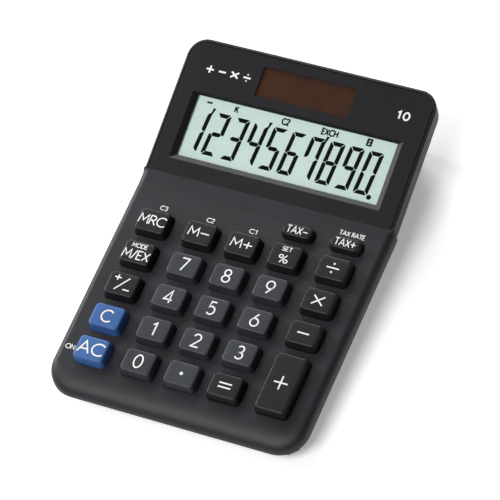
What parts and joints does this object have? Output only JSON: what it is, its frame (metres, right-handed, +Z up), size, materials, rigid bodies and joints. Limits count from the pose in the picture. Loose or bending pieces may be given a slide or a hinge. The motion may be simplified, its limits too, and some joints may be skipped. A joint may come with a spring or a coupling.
{
  "type": "desk calculator",
  "caption": "Desk calculator: a thin bent case with a tilted display section, a solar cell, an inner board and button cell, and sprung keys that travel into the keypad.",
  "frame": {"origin": "centre of the footprint of the whole part, on the plane that the feet stand on", "axes": "+Z up; +Y from the keypad towards the raised display end; +X to the right of a person using it"},
  "size_m": [0.103, 0.1466, 0.0292],
  "materials": {
    "case_plastic": "fine-grained charcoal black",
    "panel_plastic": "fine-grained black, slightly darker than the case",
    "window_plastic": "clear acrylic",
    "lcd_glass": "pale green-grey display glass",
    "reflector_foil": "dull foil",
    "holder_plastic": "natural white",
    "ribbon_film": "amber film",
    "solar_glass": "dark brown cell under glass",
    "pad_foam": "closed-cell foam",
    "lead_sheath_red": "smooth sheath",
    "lead_sheath_black": "smooth sheath",
    "sheet_rubber": "matt silicone",
    "board_laminate": "green laminate",
    "chip_resin": "black potting",
    "component_ceramic": "ceramic",
    "screw_steel": "plated",
    "cell_steel": "bright",
    "contact_steel": "spring strip",
    "foot_rubber": "matt",
    "key_grey": "mid grey with a printed white legend",
    "key_black": "near black with a printed white legend",
    "key_blue": "blue with a printed pale legend"
  },
  "bodies": {
    "case": {"upper_case": "case_plastic", "display_panel": "panel_plastic", "display_window": "window_plastic", "lcd_panel": "lcd_glass", "lcd_reflector": "reflector_foil", "lcd_holder": "holder_plastic", "lcd_ribbon": "ribbon_film", "solar_cell": "solar_glass", "solar_pad": "pad_foam", "solar_leads": "lead_sheath_red", "rubber_key_sheet": "sheet_rubber", "circuit_board": "board_laminate", "controller_chip": "chip_resin", "board_components": "component_ceramic", "board_screws": "screw_steel", "lower_case": "case_plastic", "battery_cover": "case_plastic", "battery_cover_screw": "screw_steel", "button_cell": "cell_steel", "battery_contact_positive": "contact_steel", "battery_contact_negative": "contact_steel", "battery_leads": "lead_sheath_black", "case_screws": "screw_steel", "rubber_feet": "foot_rubber"},
    "key_mrc": {"key_mrc": "key_black"},
    "key_m_minus": {"key_m_minus": "key_black"},
    "key_m_plus": {"key_m_plus": "key_black"},
    "key_percent": {"key_percent": "key_black"},
    "key_divide": {"key_divide": "key_black"},
    "key_m_exchange": {"key_m_exchange": "key_black"},
    "key_7": {"key_7": "key_grey"},
    "key_8": {"key_8": "key_grey"},
    "key_9": {"key_9": "key_grey"},
    "key_multiply": {"key_multiply": "key_black"},
    "key_sign": {"key_sign": "key_black"},
    "key_4": {"key_4": "key_grey"},
    "key_5": {"key_5": "key_grey"},
    "key_6": {"key_6": "key_grey"},
    "key_minus": {"key_minus": "key_black"},
    "key_clear": {"key_clear": "key_blue"},
    "key_1": {"key_1": "key_grey"},
    "key_2": {"key_2": "key_grey"},
    "key_3": {"key_3": "key_grey"},
    "key_all_clear": {"key_all_clear": "key_blue"},
    "key_0": {"key_0": "key_grey"},
    "key_point": {"key_point": "key_grey"},
    "key_equals": {"key_equals": "key_black"},
    "key_plus": {"key_plus": "key_black"},
    "key_tax_minus": {"key_tax_minus": "key_black"},
    "key_tax_plus": {"key_tax_plus": "key_black"}
  },
  "joints": [
    {"name": "key_mrc_press", "type": "slide", "parent": "case", "child": "key_mrc", "axis": [0, 0.051, -0.9987], "range_m": [0, 0.0012], "stiffness_N_per_m": 500, "deforming": ["rubber_key_sheet"]},
    {"name": "key_m_minus_press", "type": "slide", "parent": "case", "child": "key_m_minus", "axis": [0, 0.051, -0.9987], "range_m": [0, 0.0012], "stiffness_N_per_m": 500, "deforming": ["rubber_key_sheet"]},
    {"name": "key_m_plus_press", "type": "slide", "parent": "case", "child": "key_m_plus", "axis": [0, 0.051, -0.9987], "range_m": [0, 0.0012], "stiffness_N_per_m": 500, "deforming": ["rubber_key_sheet"]},
    {"name": "key_percent_press", "type": "slide", "parent": "case", "child": "key_percent", "axis": [0, 0.051, -0.9987], "range_m": [0, 0.0012], "stiffness_N_per_m": 500, "deforming": ["rubber_key_sheet"]},
    {"name": "key_divide_press", "type": "slide", "parent": "case", "child": "key_divide", "axis": [0, 0.051, -0.9987], "range_m": [0, 0.0012], "stiffness_N_per_m": 500, "deforming": ["rubber_key_sheet"]},
    {"name": "key_m_exchange_press", "type": "slide", "parent": "case", "child": "key_m_exchange", "axis": [0, 0.051, -0.9987], "range_m": [0, 0.0012], "stiffness_N_per_m": 500, "deforming": ["rubber_key_sheet"]},
    {"name": "key_7_press", "type": "slide", "parent": "case", "child": "key_7", "axis": [0, 0.051, -0.9987], "range_m": [0, 0.0012], "stiffness_N_per_m": 500, "deforming": ["rubber_key_sheet"]},
    {"name": "key_8_press", "type": "slide", "parent": "case", "child": "key_8", "axis": [0, 0.051, -0.9987], "range_m": [0, 0.0012], "stiffness_N_per_m": 500, "deforming": ["rubber_key_sheet"]},
    {"name": "key_9_press", "type": "slide", "parent": "case", "child": "key_9", "axis": [0, 0.051, -0.9987], "range_m": [0, 0.0012], "stiffness_N_per_m": 500, "deforming": ["rubber_key_sheet"]},
    {"name": "key_multiply_press", "type": "slide", "parent": "case", "child": "key_multiply", "axis": [0, 0.051, -0.9987], "range_m": [0, 0.0012], "stiffness_N_per_m": 500, "deforming": ["rubber_key_sheet"]},
    {"name": "key_sign_press", "type": "slide", "parent": "case", "child": "key_sign", "axis": [0, 0.051, -0.9987], "range_m": [0, 0.0012], "stiffness_N_per_m": 500, "deforming": ["rubber_key_sheet"]},
    {"name": "key_4_press", "type": "slide", "parent": "case", "child": "key_4", "axis": [0, 0.051, -0.9987], "range_m": [0, 0.0012], "stiffness_N_per_m": 500, "deforming": ["rubber_key_sheet"]},
    {"name": "key_5_press", "type": "slide", "parent": "case", "child": "key_5", "axis": [0, 0.051, -0.9987], "range_m": [0, 0.0012], "stiffness_N_per_m": 500, "deforming": ["rubber_key_sheet"]},
    {"name": "key_6_press", "type": "slide", "parent": "case", "child": "key_6", "axis": [0, 0.051, -0.9987], "range_m": [0, 0.0012], "stiffness_N_per_m": 500, "deforming": ["rubber_key_sheet"]},
    {"name": "key_minus_press", "type": "slide", "parent": "case", "child": "key_minus", "axis": [0, 0.051, -0.9987], "range_m": [0, 0.0012], "stiffness_N_per_m": 500, "deforming": ["rubber_key_sheet"]},
    {"name": "key_clear_press", "type": "slide", "parent": "case", "child": "key_clear", "axis": [0, 0.051, -0.9987], "range_m": [0, 0.0012], "stiffness_N_per_m": 500, "deforming": ["rubber_key_sheet"]},
    {"name": "key_1_press", "type": "slide", "parent": "case", "child": "key_1", "axis": [0, 0.051, -0.9987], "range_m": [0, 0.0012], "stiffness_N_per_m": 500, "deforming": ["rubber_key_sheet"]},
    {"name": "key_2_press", "type": "slide", "parent": "case", "child": "key_2", "axis": [0, 0.051, -0.9987], "range_m": [0, 0.0012], "stiffness_N_per_m": 500, "deforming": ["rubber_key_sheet"]},
    {"name": "key_3_press", "type": "slide", "parent": "case", "child": "key_3", "axis": [0, 0.051, -0.9987], "range_m": [0, 0.0012], "stiffness_N_per_m": 500, "deforming": ["rubber_key_sheet"]},
    {"name": "key_all_clear_press", "type": "slide", "parent": "case", "child": "key_all_clear", "axis": [0, 0.051, -0.9987], "range_m": [0, 0.0012], "stiffness_N_per_m": 500, "deforming": ["rubber_key_sheet"]},
    {"name": "key_0_press", "type": "slide", "parent": "case", "child": "key_0", "axis": [0, 0.051, -0.9987], "range_m": [0, 0.0012], "stiffness_N_per_m": 500, "deforming": ["rubber_key_sheet"]},
    {"name": "key_point_press", "type": "slide", "parent": "case", "child": "key_point", "axis": [0, 0.051, -0.9987], "range_m": [0, 0.0012], "stiffness_N_per_m": 500, "deforming": ["rubber_key_sheet"]},
    {"name": "key_equals_press", "type": "slide", "parent": "case", "child": "key_equals", "axis": [0, 0.051, -0.9987], "range_m": [0, 0.0012], "stiffness_N_per_m": 500, "deforming": ["rubber_key_sheet"]},
    {"name": "key_plus_press", "type": "slide", "parent": "case", "child": "key_plus", "axis": [0, 0.051, -0.9987], "range_m": [0, 0.0012], "stiffness_N_per_m": 500, "deforming": ["rubber_key_sheet"]},
    {"name": "key_tax_minus_press", "type": "slide", "parent": "case", "child": "key_tax_minus", "axis": [0, 0.051, -0.9987], "range_m": [0, 0.0012], "stiffness_N_per_m": 500, "deforming": ["rubber_key_sheet"]},
    {"name": "key_tax_plus_press", "type": "slide", "parent": "case", "child": "key_tax_plus", "axis": [0, 0.051, -0.9987], "range_m": [0, 0.0012], "stiffness_N_per_m": 500, "deforming": ["rubber_key_sheet"]}
  ]
}
